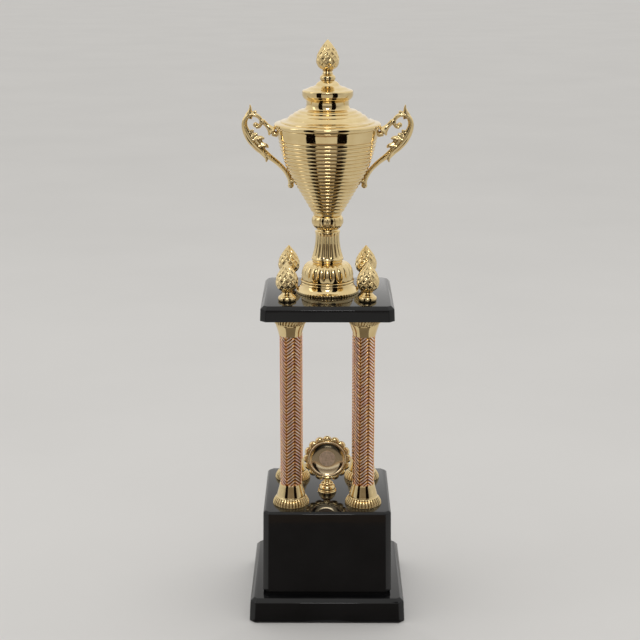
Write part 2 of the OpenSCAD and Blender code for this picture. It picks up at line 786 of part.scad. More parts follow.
// One handle on the +X side, standing in the XZ plane
module handle_body() {
    socket_dir = socket[1] - socket[0];
    rotate([90, 0, 0]) {
        linear_extrude(handle_t, center = true) polygon(strip(thinned(scroll), grip_w));
        linear_extrude(handle_t - 1.5, center = true) polygon(leaf);
        linear_extrude(handle_t - 2.5, center = true) polygon(spike);
    }
    for (ball = [[curl_ball, 3], [foot_ball, 3.3], [collar_ball, 3]])
        translate([ball[0][0], 0, ball[0][1]]) sphere(r = ball[1], $fn = edge_fn);
    translate([socket[0][0], 0, socket[0][1]])
        rotate([0, atan2(socket_dir[0], socket_dir[1]), 0])
            cylinder(h = norm(socket_dir), r1 = 2.6, r2 = 5.6, $fn = edge_fn);
    for (i = [0, 1])
        translate([pads[i][0], 0, pads[i][1]]) rotate([0, 90, 0])
            cylinder(h = pad_sizes[i][0], r = pad_sizes[i][1], $fn = edge_fn);
    translate([arm_end[0], 0, arm_end[1]]) rotate([0, -105, 0])
        cylinder(h = 7, r = 2.2, $fn = edge_fn);
}

// Puts children on the line of a handle screw, starting where its head meets the bowl's inner wall
module on_handle_screw(place) {
    wall_r = bowl_r_at(place[0] - screw3_head_r - z_bowl) - bowl_wall - rib_depth;
    translate([wall_r - gap, 0, place[0]]) rotate([0, 90, 0]) children();
}

module handle_screws() {
    color("silver")
    for (side = [0, 1], place = screw_places)
        mirror([side, 0, 0])
            on_handle_screw(place) screw(screw3_r, place[1], screw3_head_r, screw3_head_h);
}

module handle() {
    color([0.92, 0.78, 0.48])
    difference() {
        handle_body();
        translate([0, 0, z_bowl])
            turned(concat([[0, -10], [bowl_foot_r + gap, -10]], bowl_line(gap),
                [[bowl_r + gap, bowl_h + 10], [0, bowl_h + 10]]));
        for (place = screw_places)
            on_handle_screw(place)
                cylinder(h = place[1] + bore_gap, r = screw3_r + gap, $fn = round_fn);
    }
}

// ---- lid ----

module lid() {
    outer = concat(
        [[lid_r - 2, 0], [lid_r - 0.6, 1.6], [lid_r, 3.4], [lid_r - 0.3, 4.6], [lid_r - 2, 5.4],
         [lid_r - 5.9, 6.1]],
        bezier([[lid_r - 8, 6.8], [lid_r - 10, 8.4], [lid_step_r + 1.6, 9], [lid_step_r, 10]], 5),
        bezier([[lid_step_r - 0.6, 11.6], [lid_step_r - 4, 14.5], [lid_waist_r + 8.8, 19.6],
                [lid_waist_r + 1.4, 20.7]], 7),
        bezier([[lid_waist_r + 0.6, 23], [lid_waist_r - 0.4, 27], [lid_waist_r, 30.2],
                [lid_drum_r - 0.4, 33]], 6),
        [[lid_drum_r, 34.4], [lid_drum_r, 38.2], [lid_drum_r - 0.8, 39.6]],
        bezier([[lid_drum_r - 3.4, 40.5], [16, 43], [12.4, 43.6], [12.4, 45.8]], 6),
        bezier([[12.2, 46.8], [11.6, 48.6], [9, 49.2], [lid_finial_foot_r - 0.2, lid_top_h]], 4));
    inner = [[lid_spigot_r - lid_wall, -10], [lid_spigot_r - lid_wall, 4],
             [lid_step_r + 0.4, 6.4], [lid_step_r - 2.6, 9.2], [lid_waist_r + 8.3, 16.4],
             [lid_waist_r - 0.8, 18.6], [lid_waist_r - 1.9, 26], [lid_waist_r - 1.6, 31],
             [lid_drum_r - 2, 34.4], [lid_drum_r - 2, 37.2], [10.5, 41.6],
             [10, lid_top_h - lid_boss_t]];
    color([0.93, 0.8, 0.52])
    translate([0, 0, z_rim])
    difference() {
        union() {
            turned(concat([[0, 0]], outer, [[0, lid_top_h]]));
            translate([0, 0, -lid_spigot_h])
                cylinder(h = lid_spigot_h + 1, r = lid_spigot_r, $fn = fine);
        }
        turned(concat([[0, -10]], inner, [[0, lid_top_h - lid_boss_t]]));
        translate([0, 0, lid_top_h - lid_boss_t - 1])
            cylinder(h = lid_boss_t + 2, r = lid_screw_r + gap, $fn = round_fn);
    }
}

module lid_finial() {
    color([0.92, 0.76, 0.45])
    translate([0, 0, z_rim + lid_top_h])
    difference() {
        finial_body(lid_finial_foot_r);
        translate([0, 0, -1]) cylinder(h = 14, r = lid_screw_r + gap, $fn = round_fn);
    }
}

module lid_screw() {
    color("silver")
    translate([0, 0, z_rim + lid_top_h - lid_boss_t])
        screw(lid_screw_r, lid_boss_t + 12, lid_head_r, lid_head_h);
}

base_plate();
bottom_cover();
foot_pads();
cover_screws();
ballast_weight();
plinth_screws();
plinth_block();
deck();
deck_underplate();
underplate_screws();
tie_rod_nuts();
tie_rod_washers();
medal_stem();
medal_rim();
medal_dish();
medal_insert();
medal_screw();
cup_base_ring();
cup_dome();
cup_stem();
cup_knop();
cup_bowl();
cup_rod();
cup_nuts();
cup_washers();
mirror([1, 0, 0]) handle();  // handle_left
handle();  // handle_right
handle_screws();
lid();
lid_finial();
lid_screw();
for (i = [0 : 3]) {
    at_corner(i, column_pitch) column();
    at_corner(i, column_pitch) column_foot();
    at_corner(i, column_pitch) column_capital();
    at_corner(i, finial_pitch) tie_rod();
    at_corner(i, finial_pitch) corner_finial();
}
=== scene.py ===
import json
import math

import bmesh
import bpy
from mathutils import Matrix, Vector
from mathutils.geometry import interpolate_bezier


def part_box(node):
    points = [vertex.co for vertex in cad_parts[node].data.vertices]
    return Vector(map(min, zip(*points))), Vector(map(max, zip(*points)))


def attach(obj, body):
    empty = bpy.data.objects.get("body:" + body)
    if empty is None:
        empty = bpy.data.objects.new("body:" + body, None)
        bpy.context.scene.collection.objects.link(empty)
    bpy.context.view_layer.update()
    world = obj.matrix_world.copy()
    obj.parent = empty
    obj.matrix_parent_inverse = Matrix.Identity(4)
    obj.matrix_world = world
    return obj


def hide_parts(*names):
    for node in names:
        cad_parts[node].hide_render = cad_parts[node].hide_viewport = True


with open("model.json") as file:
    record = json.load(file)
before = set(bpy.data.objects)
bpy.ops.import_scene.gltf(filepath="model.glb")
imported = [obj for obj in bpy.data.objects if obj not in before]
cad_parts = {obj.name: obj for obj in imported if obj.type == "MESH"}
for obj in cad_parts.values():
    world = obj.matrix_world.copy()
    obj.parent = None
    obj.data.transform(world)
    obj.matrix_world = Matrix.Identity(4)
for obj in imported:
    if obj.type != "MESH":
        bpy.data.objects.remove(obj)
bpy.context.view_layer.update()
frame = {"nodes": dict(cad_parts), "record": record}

mm = 0.001
turn = 2 * math.pi
corners = {"front_left": (-1, -1), "front_right": (1, -1), "back_left": (-1, 1), "back_right": (1, 1)}


# Heights and middles come from the frame, in millimetres

def low(node, axis=2):
    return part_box(node)[0][axis] / mm


def high(node, axis=2):
    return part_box(node)[1][axis] / mm


def middle(node):
    return [(a + b) / 2 / mm for a, b in zip(*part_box(node))]


def width(node, axis=0):
    return high(node, axis) - low(node, axis)


# Small helpers for the turned work

def bend(start, startHandle, endHandle, end, count=8):
    points = interpolate_bezier(*(Vector((x, z, 0)) for x, z in (start, startHandle, endHandle, end)), count)
    return [(p.x, p.y) for p in points]


def smoothStep(start, end, value):
    t = min(max((value - start) / (end - start), 0), 1)
    return t * t * (3 - 2 * t)


def spinProfile(points, steps):
    bm = bmesh.new()
    verts = [bm.verts.new((x, 0, z)) for x, z in points]
    for a, b in zip(verts, verts[1:]):
        bm.edges.new((a, b))
    bmesh.ops.spin(bm, geom=bm.verts[:] + bm.edges[:], cent=(0, 0, 0), axis=(0, 0, 1), dvec=(0, 0, 0),
                   angle=turn, steps=steps, use_merge=True, use_duplicate=False)
    bmesh.ops.remove_doubles(bm, verts=bm.verts, dist=0.002)
    bmesh.ops.recalc_face_normals(bm, faces=bm.faces)
    return bm


def carve(bm, radialMove):
    # moves each point in or out from the Z axis by what radialMove(angle, z, radius) says
    for v in bm.verts:
        radius = math.hypot(v.co.x, v.co.y)
        if radius > 0.5:
            move = radialMove(math.atan2(v.co.y, v.co.x), v.co.z, radius)
            v.co.x *= 1 + move / radius
            v.co.y *= 1 + move / radius


def place(bm, x=0, y=0, z=0):
    bmesh.ops.translate(bm, vec=(x, y, z), verts=bm.verts)


def finishPiece(name, bm, material, body, nodes=(), sharpDegrees=38):
    bmesh.ops.scale(bm, vec=(mm, mm, mm), verts=bm.verts)
    mesh = bpy.data.meshes.new(name)
    bm.to_mesh(mesh)
    bm.free()
    mesh.shade_smooth()
    mesh.set_sharp_from_angle(angle=math.radians(sharpDegrees))
    piece = bpy.data.objects.new(name, mesh)
    bpy.context.collection.objects.link(piece)
    mesh.materials.append(material)
    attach(piece, body)
    if nodes:
        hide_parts(*nodes)
    return piece


def copyPiece(source, name, body, nodes, dx, dy):
    mesh = source.data.copy()
    mesh.transform(Matrix.Translation((dx * mm, dy * mm, 0)))
    piece = bpy.data.objects.new(name, mesh)
    bpy.context.collection.objects.link(piece)
    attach(piece, body)
    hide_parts(*nodes)
    return piece


# Materials

def newMaterial(name):
    material = bpy.data.materials.new(name)
    material.use_nodes = True
    tree = material.node_tree
    return material, tree, tree.nodes["Principled BSDF"]


def addNode(tree, kind, inputs=None, **settings):
    node = tree.nodes.new(kind)
    for key, value in settings.items():
        setattr(node, key, value)
    for key, value in (inputs or {}).items():
        node.inputs[key].default_value = value
    return node


def objectPoint(tree, scale=(1, 1, 1)):
    coords = addNode(tree, "ShaderNodeTexCoord")
    mapping = addNode(tree, "ShaderNodeMapping", {"Scale": scale})
    tree.links.new(coords.outputs["Object"], mapping.inputs["Vector"])
    return mapping.outputs["Vector"]


def noiseField(tree, vector, scale, detail=3, roughness=0.55):
    noise = addNode(tree, "ShaderNodeTexNoise", {"Scale": scale, "Detail": detail, "Roughness": roughness})
    tree.links.new(vector, noise.inputs["Vector"])
    return noise.outputs["Fac"]


def spread(tree, value, toMin, toMax, fromMin=0.3, fromMax=0.7):
    remap = addNode(tree, "ShaderNodeMapRange", {"From Min": fromMin, "From Max": fromMax,
                                                 "To Min": toMin, "To Max": toMax})
    tree.links.new(value, remap.inputs["Value"])
    return remap.outputs["Result"]


def colourRamp(tree, value, stops):
    ramp = addNode(tree, "ShaderNodeValToRGB")
    elements = ramp.color_ramp.elements
    while len(elements) < len(stops):
        elements.new(0.5)
    for element, (position, colour) in zip(elements, stops):
        element.position = position
        element.color = (*colour, 1)
    tree.links.new(value, ramp.inputs["Fac"])
    return ramp.outputs["Color"]


def blendColours(tree, factor, a, b, mode="MIX"):
    mix = addNode(tree, "ShaderNodeMix", data_type="RGBA", blend_type=mode)
    for socket, value in ((mix.inputs[0], factor), (mix.inputs[6], a), (mix.inputs[7], b)):
        if isinstance(value, bpy.types.NodeSocket):
            tree.links.new(value, socket)
        else:
            socket.default_value = value
    return mix.outputs[2]


def addBump(tree, shader, height, strength, distance):
    bump = addNode(tree, "ShaderNodeBump", {"Strength": strength, "Distance": distance})
    tree.links.new(height, bump.inputs["Height"])
    tree.links.new(bump.outputs["Normal"], shader.inputs["Normal"])


goldLook = {
    "bright": (0.78, 0.595, 0.295),
    "pale": (0.87, 0.695, 0.38),
    # painted shade: the amber laid into grooves and hollows
    "recessShade": (0.40, 0.25, 0.095),
    "smooth": 0.03,
    "dull": 0.09,
    "ripple": 0.06,
}


def goldMaterial(name, look, shadeReach=0.004):
    # metallised plastic: a mirror that wavers a little; painted shade deepens the colour to amber where the
    # plating sits in a groove or hollow
    material, tree, shader = newMaterial(name)
    point = objectPoint(tree)
    clouds = noiseField(tree, point, 55, 4)
    fine = noiseField(tree, point, 900, 3)
    tint = colourRamp(tree, clouds, [(0.35, look["bright"]), (0.65, look["pale"])])
    # painted shade: an occlusion mask darkens the colour towards the recess amber in grooves
    occlusion = addNode(tree, "ShaderNodeAmbientOcclusion", {"Distance": shadeReach}, samples=8, only_local=True)
    depth = addNode(tree, "ShaderNodeMapRange", {"From Min": 0.25, "From Max": 0.8, "To Min": 1, "To Max": 0})
    tree.links.new(occlusion.outputs["AO"], depth.inputs["Value"])
    colour = blendColours(tree, depth.outputs["Result"], tint, (*look["recessShade"], 1))
    tree.links.new(colour, shader.inputs["Base Color"])
    tree.links.new(spread(tree, fine, look["smooth"], look["dull"]), shader.inputs["Roughness"])
    shader.inputs["Metallic"].default_value = 1
    addBump(tree, shader, noiseField(tree, point, 130, 2), look["ripple"], 0.0006)
    return material


gold = goldMaterial("goldPlating", goldLook)
satinLook = {**goldLook, "bright": (0.84, 0.68, 0.43), "pale": (0.90, 0.75, 0.50), "smooth": 0.11, "dull": 0.15,
             "ripple": 0.03}
satinGold = goldMaterial("goldPlatingSatin", satinLook)
crispGold = goldMaterial("goldPlatingCrisp", {**goldLook, "ripple": 0.1, "smooth": 0.05, "dull": 0.13}, 0.003)

foilLook = {
    # peak is a painted highlight on the strand tops, valley is painted shade between the strands
    "peakHighlight": (1.0, 0.93, 0.89),
    "side": (1.0, 0.54, 0.16),
    "valleyShade": (0.15, 0.035, 0.01),
    "violet": (0.90, 0.78, 0.92),
}


def foilMaterial():
    # rosy plating on the woven tubes; the attribute says how high a point stands on its strand, and the colour
    # follows it as painted shade in the valleys and a painted highlight on the strand tops
    material, tree, shader = newMaterial("rosyWeave")
    point = objectPoint(tree)
    strand = addNode(tree, "ShaderNodeAttribute", attribute_name="strand")
    strandLightAndShade = colourRamp(tree, strand.outputs["Fac"], [(0.06, foilLook["valleyShade"]), (0.34, foilLook["side"]),
                                                      (0.47, foilLook["side"]), (0.68, foilLook["peakHighlight"])])
    cool = spread(tree, noiseField(tree, point, 110, 3), 0.1, 0.8, 0.42, 0.6)
    colour = blendColours(tree, cool, strandLightAndShade, (*foilLook["violet"], 1), "MULTIPLY")
    tree.links.new(colour, shader.inputs["Base Color"])
    tree.links.new(spread(tree, noiseField(tree, point, 700, 3), 0.29, 0.38), shader.inputs["Roughness"])
    shader.inputs["Metallic"].default_value = 1
    addBump(tree, shader, noiseField(tree, point, 1400, 2), 0.2, 0.0002)
    return material


rosyFoil = foilMaterial()

blackLook = {
    "deep": (0.0032, 0.0032, 0.0035),
    "lift": (0.0065, 0.0065, 0.007),
    "polish": 0.03,
    "scuff": 0.13,
}


def blackMaterial(name, look):
    # polished black moulding with faint dust, streaks in its polish and a slow ripple
    material, tree, shader = newMaterial(name)
    point = objectPoint(tree)
    clouds = noiseField(tree, point, 22, 5, 0.65)
    dust = noiseField(tree, point, 1800, 2, 0.7)
    base = colourRamp(tree, clouds, [(0.35, look["deep"]), (0.7, look["lift"])])
    specks = spread(tree, dust, 0, 0.25, 0.7, 0.82)
    tree.links.new(blendColours(tree, specks, base, (0.07, 0.068, 0.064, 1)), shader.inputs["Base Color"])
    streaks = noiseField(tree, objectPoint(tree, (1, 1, 6)), 40, 6, 0.6)
    tree.links.new(spread(tree, streaks, look["polish"], look["scuff"], 0.4, 0.75), shader.inputs["Roughness"])
    shader.inputs["IOR"].default_value = 1.42
    addBump(tree, shader, noiseField(tree, point, 70, 2), 0.04, 0.0008)
    return material


black = blackMaterial("blackPolish", blackLook)


def plainMaterial(name, first, second, metallic, smooth, rough, grain, bump, stretch=(1, 1, 1)):
    material, tree, shader = newMaterial(name)
    point = objectPoint(tree, stretch)
    field = noiseField(tree, point, grain, 5, 0.6)
    tree.links.new(colourRamp(tree, field, [(0.35, first), (0.65, second)]), shader.inputs["Base Color"])
    tree.links.new(spread(tree, field, smooth, rough), shader.inputs["Roughness"])
    shader.inputs["Metallic"].default_value = metallic
    addBump(tree, shader, field, bump, 0.0003)
    return material


steel = plainMaterial("zincPlate", (0.52, 0.52, 0.53), (0.68, 0.67, 0.64), 1, 0.22, 0.42, 260, 0.2, (1, 1, 5))
rubber = plainMaterial("padRubber", (0.012, 0.012, 0.012), (0.026, 0.025, 0.024), 0, 0.7, 0.9, 900, 0.4)
castIron = plainMaterial("castWeight", (0.05, 0.048, 0.046), (0.11, 0.1, 0.09), 0.6, 0.55, 0.8, 300, 0.7)
pressedBoard = plainMaterial("pressedBoard", (0.10, 0.06, 0.035), (0.19, 0.125, 0.075), 0, 0.6, 0.85, 420, 0.4,
                             (1, 5, 1))
darkMatte = plainMaterial("darkMatte", (0.008, 0.008, 0.008), (0.02, 0.02, 0.02), 0, 0.5, 0.7, 500, 0.3)
insertFace = plainMaterial("insertFace", (0.44, 0.33, 0.23), (0.68, 0.52, 0.39), 0.25, 0.38, 0.62, 340, 0.35)
print("materials ready")

# Every part of the frame takes a finish by its slot in the record; the ones replaced below are hidden
slotFinish = {"steel": steel, "pad_rubber": rubber, "ballast": castIron, "cover_board": pressedBoard,
              "black_matte": darkMatte, "insert_matte": insertFace, "black_gloss": black, "gold": gold,
              "rosy_foil": rosyFoil}
for part in frame["record"]["subparts"]:
    node = frame["nodes"][part["node"]]
    node.data.materials.clear()
    node.data.materials.append(slotFinish[part["material_slot"]])


# Black mouldings: base plate, plinth block and deck

mouldings = {
    "basePlate": {"node": "base_plate", "height": 26.4, "headInset": 1.2, "edge": 4.0, "corner": 6.0,
                  "wall": 3.2, "step": 3.8, "stepWidth": 135.4},
    "plinthBlock": {"node": "plinth_block", "height": 93.2, "headInset": 1.2, "edge": 2.2, "corner": 6.0,
                    "wall": 3.2, "step": 0, "stepWidth": 0},
    "deckSlab": {"node": "deck", "height": 16.3, "headInset": 0.65, "edge": 3.5, "corner": 6.0,
                 "wall": 3.2, "step": 0, "stepWidth": 0},
}
crease = {"sharperThan": 18, "offset": 0.45}     # the last thin bevel, on edges near the top


def draftedBlock(footWidth, height, headInset, cornerRadius, edge, wall):
    bm = bmesh.new()
    bmesh.ops.create_cube(bm, size=1)
    bmesh.ops.scale(bm, vec=(footWidth, footWidth, height), verts=bm.verts)
    place(bm, z=height / 2)
    top = [v for v in bm.verts if v.co.z > height / 2]
    shrink = 1 - 2 * headInset / footWidth
    bmesh.ops.scale(bm, vec=(shrink, shrink, 1), verts=top)
    upright = [e for e in bm.edges if abs(e.verts[0].co.z - e.verts[1].co.z) > height / 2]
    bmesh.ops.bevel(bm, geom=upright, offset=cornerRadius, affect="EDGES", segments=1, profile=0.5, material=-1)
    topFace = max(bm.faces, key=lambda f: f.calc_center_median().z)
    footFace = min(bm.faces, key=lambda f: f.calc_center_median().z)
    bmesh.ops.inset_region(bm, faces=[footFace], thickness=wall, depth=0)
    hollow = bmesh.ops.extrude_discrete_faces(bm, faces=[footFace])["faces"]
    bmesh.ops.translate(bm, vec=(0, 0, height - wall - 1), verts=hollow[0].verts)
    bmesh.ops.bevel(bm, geom=topFace.edges[:], offset=edge, affect="EDGES", segments=1, profile=0.5,
                    material=-1)
    creased = [e for e in bm.edges if e.calc_face_angle(0) > math.radians(crease["sharperThan"])
               and max(v.co.z for v in e.verts) > height - edge - 1
               and max(abs(v.co.x) for v in e.verts) > footWidth / 3]
    bmesh.ops.bevel(bm, geom=creased, offset=crease["offset"], affect="EDGES", segments=3, profile=0.5,
                    material=-1)
    bmesh.ops.recalc_face_normals(bm, faces=bm.faces)
    return bm


for name, m in mouldings.items():
    node = m["node"]
    bm = draftedBlock(width(node), m["height"], m["headInset"], m["corner"], m["edge"], m["wall"])
    if m["step"]:
        step = bmesh.ops.create_cube(bm, size=1)["verts"]
        bmesh.ops.scale(bm, vec=(m["stepWidth"], m["stepWidth"], m["step"] + 1), verts=step)
        bmesh.ops.translate(bm, vec=(0, 0, m["height"] + m["step"] / 2 - 0.5), verts=step)
    place(bm, z=low(node))
    finishPiece(name, bm, black, "stand", [node], 30)
print("black mouldings done")


# Columns: woven tubes and their bell-shaped ends

weave = {"bands": 8, "strandRise": 3.7, "slope": 0.8, "depth": 0.7, "repeat": 7.4, "swell": 0.25,
         "radius": 12, "around": 200, "rowHeight": 0.4}
bell = {"flutes": 34, "fluteDepth": 1.9, "lip": 1.4, "band": 7.4, "neck": 12.35, "around": 272,
        "capitalSlant": 0.35}


def weaveHeight(angle, z):
    # herringbone strands in upright bands; 0 is between strands and 1 on top of one
    across = (angle / turn) * weave["bands"] + 0.5
    band = math.floor(across)
    side = across - band - 0.5
    lean = 1 if band % 2 else -1
    bandWidth = turn * weave["radius"] / weave["bands"]
    climb = z + lean * side * bandWidth * weave["slope"]
    ridge = 0.5 - 0.5 * math.cos(turn * climb / weave["strandRise"])
    swell = 0.5 + 0.5 * math.cos(turn * climb / weave["repeat"])
    return ridge * (1 - 0.8 * abs(2 * side) ** 6), swell


def weaveDepth(angle, z):
    height, swell = weaveHeight(angle, z)
    return -weave["depth"] * (1 - height) - weave["swell"] * (1 - swell)


tubeBottom, tubeTop = low("column_front_left"), high("column_front_left")
tubeRadius = width("column_front_left") / 2
rows = round((tubeTop - tubeBottom) / weave["rowHeight"])
profile = [(tubeRadius, tubeBottom + (tubeTop - tubeBottom) * i / rows) for i in range(rows + 1)]
bm = spinProfile([(tubeRadius - 1.5, tubeBottom)] + profile + [(tubeRadius - 1.5, tubeTop)], weave["around"])
carve(bm, lambda angle, z, radius: weaveDepth(angle, z) if radius > tubeRadius - 0.1 else 0)
x, y = middle("column_front_left")[:2]
# painted shade and highlight: the strand value, lower where the weave dips, sets how dark or bright the foil
# colour is
strandShadeLayer = bm.verts.layers.float.new("strand")
for v in bm.verts:
    height, swell = weaveHeight(math.atan2(v.co.y, v.co.x), v.co.z)
    v[strandShadeLayer] = height * (0.6 + 0.4 * swell)
place(bm, x, y)
firstColumn = finishPiece("columnFrontLeft", bm, rosyFoil, "stand", ["column_front_left"], 180)
pitch = -2 * x


def bellProfile(height, neckRadius, mouth):
    band = bell["lip"] + bell["band"]
    points = [(mouth - 1.6, 0), (mouth - 0.5, 0), (mouth, 0.5), (mouth, 1.3)]
    points += bend((mouth - 0.1, 1.6), (mouth - 0.2, 3.4), (mouth - 2.4, band - 1.7), (mouth - 3.9, band), 16)
    points += [(mouth - 4.5, band + 0.3), (mouth - 4.7, band + 0.8)]
    points += bend((mouth - 4.6, band + 1.2), (mouth - 5.2, band + 4.6), (neckRadius + 0.8, height - 5),
                   (neckRadius, height), 14)
    return points + [(neckRadius - 0.8, height + 0.05), (neckRadius - 2, height + 0.05), (neckRadius - 2, 0.6),
                     (mouth - 1.6, 0.6), (mouth - 1.6, 0)]


def bellFlute(angle, z, radius, slant):
    bandTop = bell["lip"] + bell["band"]
    reach = smoothStep(-0.5, 1.4, z) * (1 - smoothStep(bandTop - 0.8, bandTop, z))
    if radius < bellMouth - 4.6 or reach == 0:
        return 0
    wave = abs(math.sin(bell["flutes"] * angle / 2 + slant * z))
    return bell["fluteDepth"] * reach * (wave ** 0.7 - 1)


bellMouth = width("column_foot_front_left") / 2
bells = {}
for kind in ("foot", "capital"):
    node = "column_" + kind + "_front_left"
    tubeEnd = tubeBottom if kind == "foot" else tubeTop
    tallness = tubeEnd - low(node) if kind == "foot" else high(node) - tubeEnd
    bm = spinProfile(bellProfile(tallness, bell["neck"], bellMouth), bell["around"])
    slant = 0 if kind == "foot" else bell["capitalSlant"]
    carve(bm, lambda angle, z, radius: bellFlute(angle, z, radius, slant))
    if kind == "capital":
        bmesh.ops.scale(bm, vec=(1, 1, -1), verts=bm.verts)
        bmesh.ops.reverse_faces(bm, faces=bm.faces)
        place(bm, z=high(node))
    else:
        place(bm, z=low(node))
    place(bm, x, y)
    bells[kind] = finishPiece(kind + "FrontLeft", bm, gold, "stand", [node], 45)

for corner, (sx, sy) in list(corners.items())[1:]:
    dx, dy = (sx + 1) / 2 * pitch, (sy + 1) / 2 * pitch
    tail = corner.title().replace("_", "")
    copyPiece(firstColumn, "column" + tail, "stand", ["column_" + corner], dx, dy)
    copyPiece(bells["foot"], "foot" + tail, "stand", ["column_foot_" + corner], dx, dy)
    copyPiece(bells["capital"], "capital" + tail, "stand", ["column_capital_" + corner], dx, dy)
print("columns done")


# Finials: a latticed bud on a waisted foot

finial = {"lattice": 11, "rows": 4.4, "ribDepth": 0.8, "neckTop": 11.0, "widest": 20.8, "height": 42.8,
          "neck": 4.9, "around": 168, "cornerFoot": 9.7, "lidFoot": 8.2}


def finialProfile(footRadius, budRadius):
    f = finial
    points = [(0, 0), (footRadius - 1.4, 0), (footRadius - 0.7, 0.4)]
    points += bend((footRadius - 0.2, 0.9), (footRadius + 0.5, 2.4), (footRadius, 4.8),
                   (footRadius - 1.2, 5.6), 8)
    points += [(footRadius - 2.0, 5.8), (footRadius - 2.3, 6.5)]
    points += bend((footRadius - 2.9, 6.9), (f["neck"] + 1.2, 7.8), (f["neck"] - 0.1, 8.8),
                   (f["neck"] - 0.1, 9.8), 7)
    points += [(f["neck"] + 0.9, 10.2), (f["neck"] + 1.1, 10.8)]
    points += bend((f["neck"] + 0.6, f["neckTop"] + 0.2), (budRadius - 2.6, f["neckTop"] + 1.4),
                   (budRadius, f["widest"] - 4.4), (budRadius, f["widest"]), 26)
    points += bend((budRadius, f["widest"] + 0.4), (budRadius, f["widest"] + 8),
                   (budRadius * 0.52, f["height"] - 7), (0.9, f["height"] - 0.5), 46)
    return points + [(0.5, f["height"] - 0.1), (0, f["height"])]


def latticeMove(angle, z, radius):
    f = finial
    reach = smoothStep(f["neckTop"] + 0.8, f["neckTop"] + 4, z)
    reach *= 1 - smoothStep(f["height"] - 4, f["height"] - 1, z)
    if reach == 0:
        return 0
    climb = f["rows"] * math.pi * ((z - f["neckTop"]) / (f["height"] - f["neckTop"])) ** 0.86
    first = abs(math.cos(f["lattice"] * angle / 2 + climb))
    second = abs(math.cos(f["lattice"] * angle / 2 - climb))
    rib = max(first, second) ** 7
    return f["ribDepth"] * reach * (rib - 0.85) * min(radius / 9, 1)


def makeFinial(name, footRadius, budRadius, body, node):
    bm = spinProfile(finialProfile(footRadius, budRadius), finial["around"])
    carve(bm, latticeMove)
    place(bm, *middle(node)[:2], low(node))
    return finishPiece(name, bm, crispGold, body, [node], 60)


budRadius = width("corner_finial_front_left") / 2
for corner in corners:
    makeFinial("cornerFinial" + corner.title().replace("_", ""), finial["cornerFoot"], budRadius, "stand",
               "corner_finial_" + corner)
makeFinial("lidFinial", finial["lidFoot"], budRadius, "lid", "lid_finial")
print("finials done")


# Medallion

medal = {"lobes": 16, "thick": 5.0, "outer": 26.9, "inner": 21.4, "stemHeight": 14.0, "footRadius": 10.45,
         "scallop": 3.1, "thinning": 0.42}
medalX = middle("medal_rim")[0]
medalZ = high("medal_rim") - medal["outer"]


def faceFront(bm):
    # a piece turned about Z is stood up to face the front, on the medallion's centre
    bmesh.ops.rotate(bm, cent=(0, 0, 0), matrix=Matrix.Rotation(math.pi / 2, 3, "X"), verts=bm.verts)
    place(bm, medalX, middle("medal_stem")[1], medalZ)


m = medal
half = m["thick"] / 2
rim = [(m["inner"], -half + 0.6), (m["inner"], half - 0.4)]
rim += bend((m["inner"] + 0.4, half), (m["inner"] + 1.6, half + 0.7), (m["outer"] - 2.2, half + 0.6),
            (m["outer"] - 0.9, half - 0.6), 9)
rim += bend((m["outer"] - 0.4, half - 1.1), (m["outer"] + 0.1, 1), (m["outer"] + 0.1, -1),
            (m["outer"] - 0.4, -half + 1.1), 6)
rim += [(m["outer"] - 1.4, -half + 0.1), (m["inner"] + 0.6, -half), (m["inner"], -half + 0.6)]
bm = spinProfile(rim, m["lobes"] * 16)


def scallop(angle, z, radius):
    lobe = abs(math.cos(m["lobes"] * angle / 2))
    share = max((radius - m["inner"]) / (m["outer"] - m["inner"]), 0)
    return share * (m["scallop"] * lobe ** 0.5 - m["scallop"])


carve(bm, scallop)
for v in bm.verts:
    angle = math.atan2(v.co.y, v.co.x)
    lobe = abs(math.cos(m["lobes"] * angle / 2))
    share = smoothStep(m["inner"] + 0.5, m["inner"] + 2.5, math.hypot(v.co.x, v.co.y))
    v.co.z *= 1 - share * (m["thinning"] - m["thinning"] * lobe ** 0.6)
faceFront(bm)
finishPiece("medalRim", bm, crispGold, "stand", ["medal_rim"], 50)

lip = half + 1
dish = [(0, lip - 4.8), (15.5, lip - 4.8), (m["inner"] - 0.2, lip - 2.6)]
dish += bend((m["inner"], lip - 1.7), (m["inner"] + 0.1, lip - 0.1), (m["inner"] - 1.4, lip + 0.3),
             (m["inner"] - 2.2, lip - 0.5), 9)
dish += [(m["inner"] - 2.6, lip - 1.1)]
dish += bend((m["inner"] - 2.8, lip - 1.3), (15.6, lip - 2.9), (12, lip - 3.5), (9.2, lip - 3.6), 14)
dish += [(0, lip - 3.6)]
bm = spinProfile(dish, 128)
faceFront(bm)
finishPiece("medalDish", bm, satinGold, "stand", ["medal_dish"], 50)

bm = spinProfile([(0, lip - 3.6), (8.9, lip - 3.6), (8.9, lip - 3.0), (8.6, lip - 2.8), (8.2, lip - 2.86),
                  (0, lip - 2.86)], 96)
faceFront(bm)
finishPiece("medalInsert", bm, insertFace, "stand", ["medal_insert"], 40)

r = m["footRadius"]
stem = [(0, 0), (r - 0.5, 0), (r, 0.5), (r, 1.2), (r - 0.5, 1.7), (r - 0.9, 1.9)]
stem += bend((r - 0.8, 2.1), (r - 0.2, 2.3), (r - 0.2, 3.0), (r - 0.8, 3.2), 5)
stem += bend((r - 1.2, 3.4), (r - 0.7, 5.6), (8.2, 8.4), (6.4, 9.0), 10)
stem += [(5.9, 9.1), (5.9, 9.5)]
stem += bend((6.6, 9.7), (7.4, 10.3), (5.2, 11.2), (4.4, 12.6), 7)
stem += [(4.3, m["stemHeight"] + 1.2), (0, m["stemHeight"] + 1.2)]
bm = spinProfile(stem, 96)
place(bm, *middle("medal_stem")[:2], low("medal_stem"))
finishPiece("medalStem", bm, gold, "stand", ["medal_stem"], 40)
print("medallion done")


# Cup: foot ring, gadrooned dome, fluted stem, petal knop and ribbed bowl

